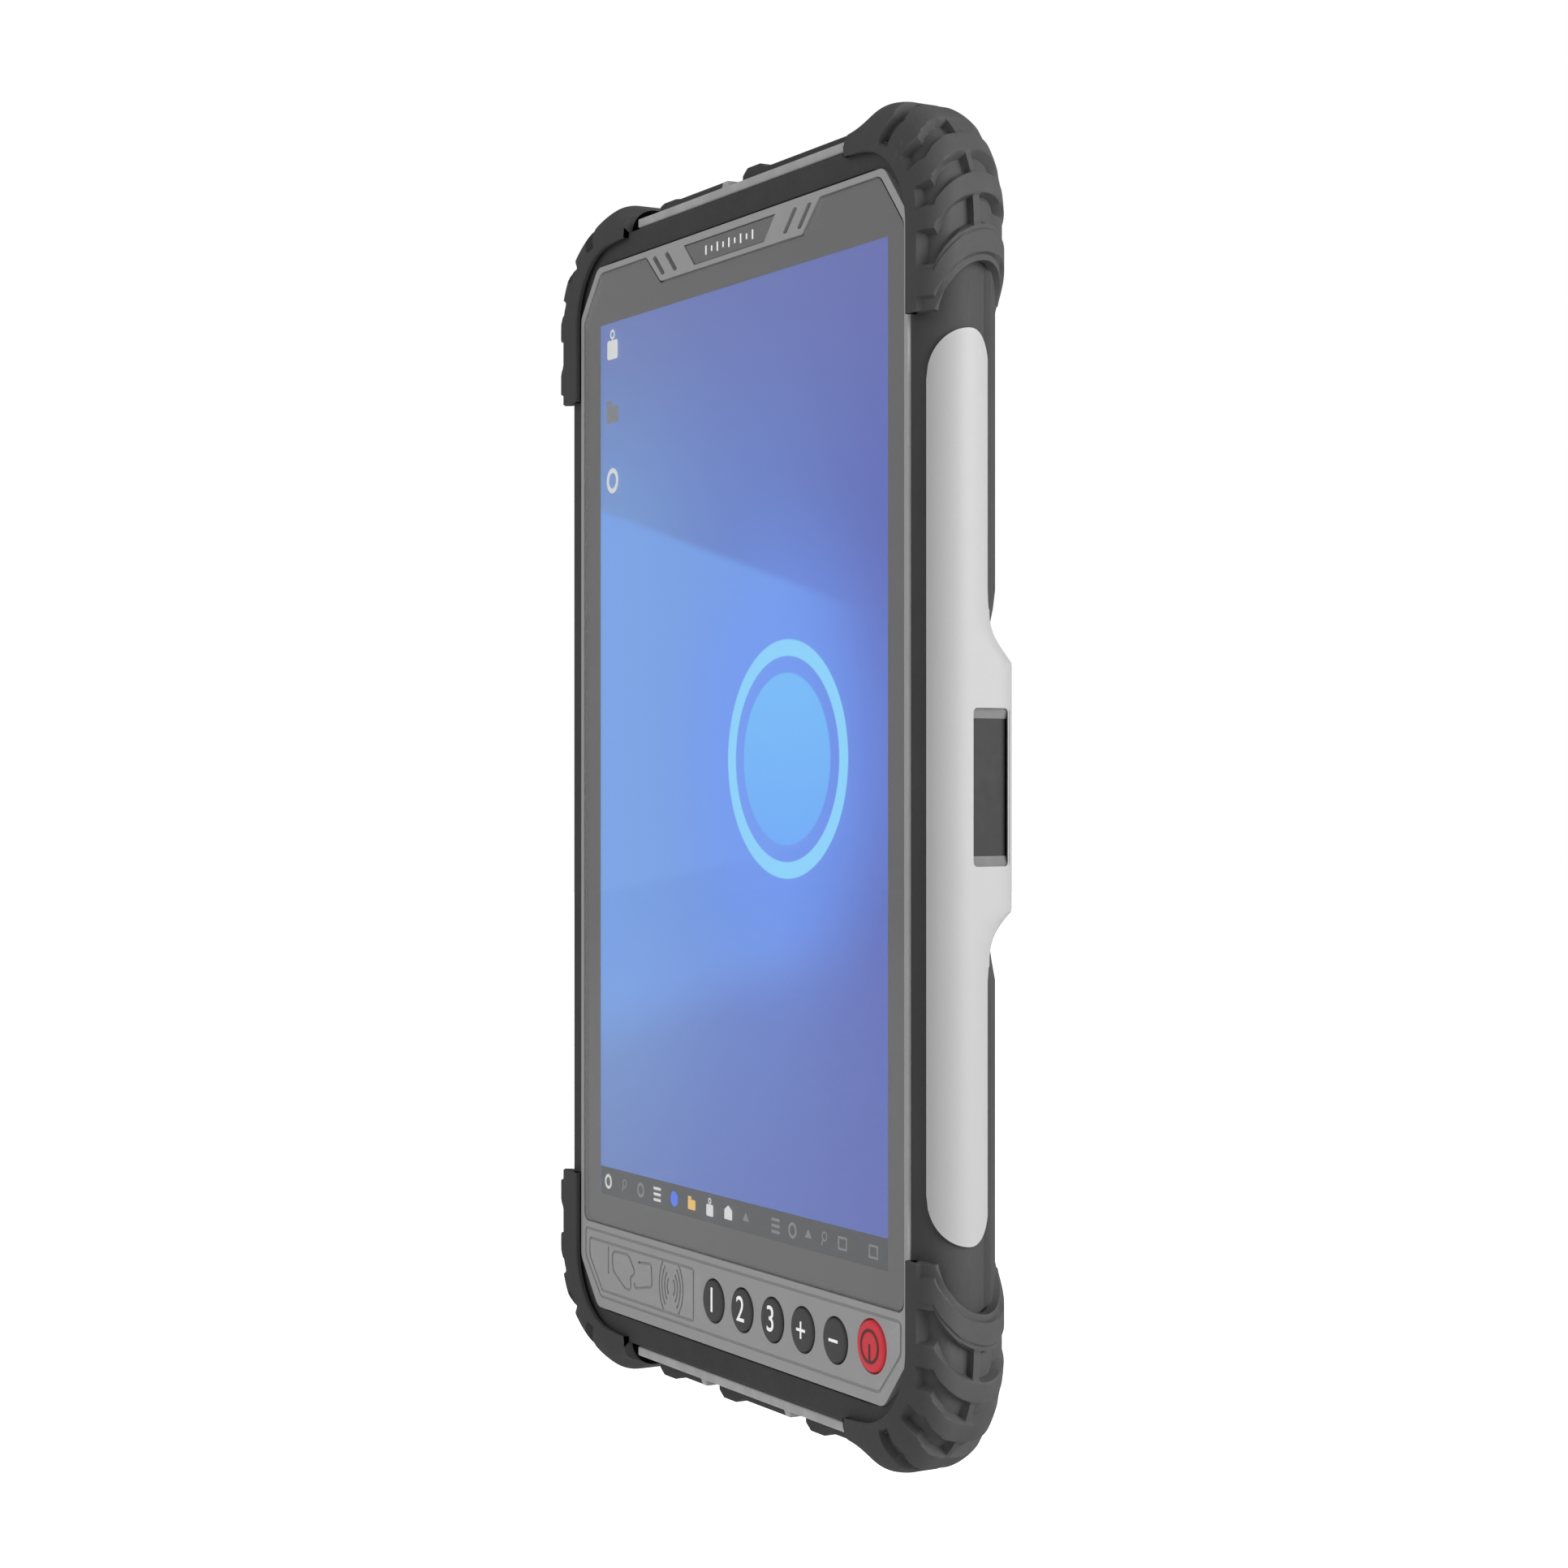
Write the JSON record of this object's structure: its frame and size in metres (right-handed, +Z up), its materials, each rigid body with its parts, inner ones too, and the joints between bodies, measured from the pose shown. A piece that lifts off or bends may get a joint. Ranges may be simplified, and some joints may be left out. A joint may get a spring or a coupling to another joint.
{
  "type": "data collector",
  "caption": "Rugged handheld tablet data collector with corner bumpers, a side scan window, front keys and hinged port covers.",
  "frame": {"origin": "middle of the footprint, on the surface that the lower corner bumpers stand on", "axes": "+X to the right of the screen as the user sees it, +Y away from the user, +Z up"},
  "size_m": [0.141, 0.019, 0.231],
  "materials": {
    "bezel": "fine texture",
    "cover_glass": "polished",
    "display": "lit screen",
    "gasket": "matt",
    "nameplate": "satin",
    "mesh_steel": "woven",
    "housing": "fine texture",
    "bumper_rubber": "matt",
    "cover_rubber": "matt",
    "grip": "satin",
    "trim": "satin",
    "key_black": "matt",
    "key_red": "matt",
    "smoked_window": "polished",
    "chassis": "cast",
    "circuit_board": "solder mask",
    "shield_steel": "plated",
    "screw_steel": "plated",
    "antenna_copper": "etched",
    "module_black": "matt",
    "flash_lens": "frosted"
  },
  "bodies": {
    "tablet": {"front_bezel": "bezel", "cover_glass": "cover_glass", "lcd_panel": "display", "glass_gasket": "gasket", "keypad_mat": "gasket", "nameplate": "nameplate", "speaker_mesh": "mesh_steel", "front_frame": "housing", "rear_housing": "housing", "battery_cover": "housing", "bumper_top_right": "bumper_rubber", "bumper_top_left": "bumper_rubber", "bumper_bottom_left": "bumper_rubber", "bumper_bottom_right": "bumper_rubber", "side_grip": "grip", "top_trim": "trim", "bottom_trim": "trim", "scan_window": "smoked_window", "camera_window": "smoked_window", "mid_chassis": "chassis", "main_board": "circuit_board", "top_io_board": "circuit_board", "bottom_io_board": "circuit_board", "keypad_board": "circuit_board", "shield_can": "shield_steel", "usb_c_port": "shield_steel", "audio_jack": "shield_steel", "micro_hdmi_port": "shield_steel", "micro_usb_port": "shield_steel", "memory_card_slot": "shield_steel", "docking_connector": "shield_steel", "sim_tray": "shield_steel", "housing_screw_1": "screw_steel", "housing_screw_2": "screw_steel", "housing_screw_3": "screw_steel", "housing_screw_4": "screw_steel", "housing_screw_5": "screw_steel", "housing_screw_6": "screw_steel", "battery_cover_screw_1": "screw_steel", "battery_cover_screw_2": "screw_steel", "battery_cover_screw_3": "screw_steel", "battery_cover_screw_4": "screw_steel", "nfc_antenna": "antenna_copper", "battery_pack": "module_black", "scan_engine": "module_black", "rear_camera": "module_black", "loudspeaker": "module_black", "camera_flash": "flash_lens"},
    "function_key_1": {"function_key_1": "key_black"},
    "function_key_2": {"function_key_2": "key_black"},
    "function_key_3": {"function_key_3": "key_black"},
    "volume_up_key": {"volume_up_key": "key_black"},
    "volume_down_key": {"volume_down_key": "key_black"},
    "power_key": {"power_key": "key_red"},
    "top_cover_left": {"top_cover_left": "cover_rubber"},
    "top_cover_right": {"top_cover_right": "cover_rubber"},
    "bottom_cover_left": {"bottom_cover_left": "cover_rubber"},
    "bottom_cover_middle": {"bottom_cover_middle": "cover_rubber"},
    "bottom_cover_right": {"bottom_cover_right": "cover_rubber"}
  },
  "joints": [
    {"name": "function_key_1_press", "type": "slide", "parent": "tablet", "child": "function_key_1", "axis": [0, 1, 0], "range_m": [0, 0.0005], "stiffness_N_per_m": 200},
    {"name": "function_key_2_press", "type": "slide", "parent": "tablet", "child": "function_key_2", "axis": [0, 1, 0], "range_m": [0, 0.0005], "stiffness_N_per_m": 200},
    {"name": "function_key_3_press", "type": "slide", "parent": "tablet", "child": "function_key_3", "axis": [0, 1, 0], "range_m": [0, 0.0005], "stiffness_N_per_m": 200},
    {"name": "volume_up_key_press", "type": "slide", "parent": "tablet", "child": "volume_up_key", "axis": [0, 1, 0], "range_m": [0, 0.0005], "stiffness_N_per_m": 200},
    {"name": "volume_down_key_press", "type": "slide", "parent": "tablet", "child": "volume_down_key", "axis": [0, 1, 0], "range_m": [0, 0.0005], "stiffness_N_per_m": 200},
    {"name": "power_key_press", "type": "slide", "parent": "tablet", "child": "power_key", "axis": [0, 1, 0], "range_m": [0, 0.0005], "stiffness_N_per_m": 200},
    {"name": "top_cover_left_hinge", "type": "hinge", "parent": "tablet", "child": "top_cover_left", "pos_m": [-0.0108, 0.001, 0.2264], "axis": [0, 1, 0], "range_deg": [0, 90]},
    {"name": "top_cover_right_hinge", "type": "hinge", "parent": "tablet", "child": "top_cover_right", "pos_m": [0.0387, 0.001, 0.2264], "axis": [0, 1, 0], "range_deg": [0, 90]},
    {"name": "bottom_cover_left_hinge", "type": "hinge", "parent": "tablet", "child": "bottom_cover_left", "pos_m": [-0.0188, 0.001, 0.0046], "axis": [0, -1, 0], "range_deg": [0, 90]},
    {"name": "bottom_cover_middle_hinge", "type": "hinge", "parent": "tablet", "child": "bottom_cover_middle", "pos_m": [0.0122, 0.001, 0.0046], "axis": [0, -1, 0], "range_deg": [0, 90]},
    {"name": "bottom_cover_right_hinge", "type": "hinge", "parent": "tablet", "child": "bottom_cover_right", "pos_m": [0.0387, 0.001, 0.0046], "axis": [0, -1, 0], "range_deg": [0, 90]}
  ]
}
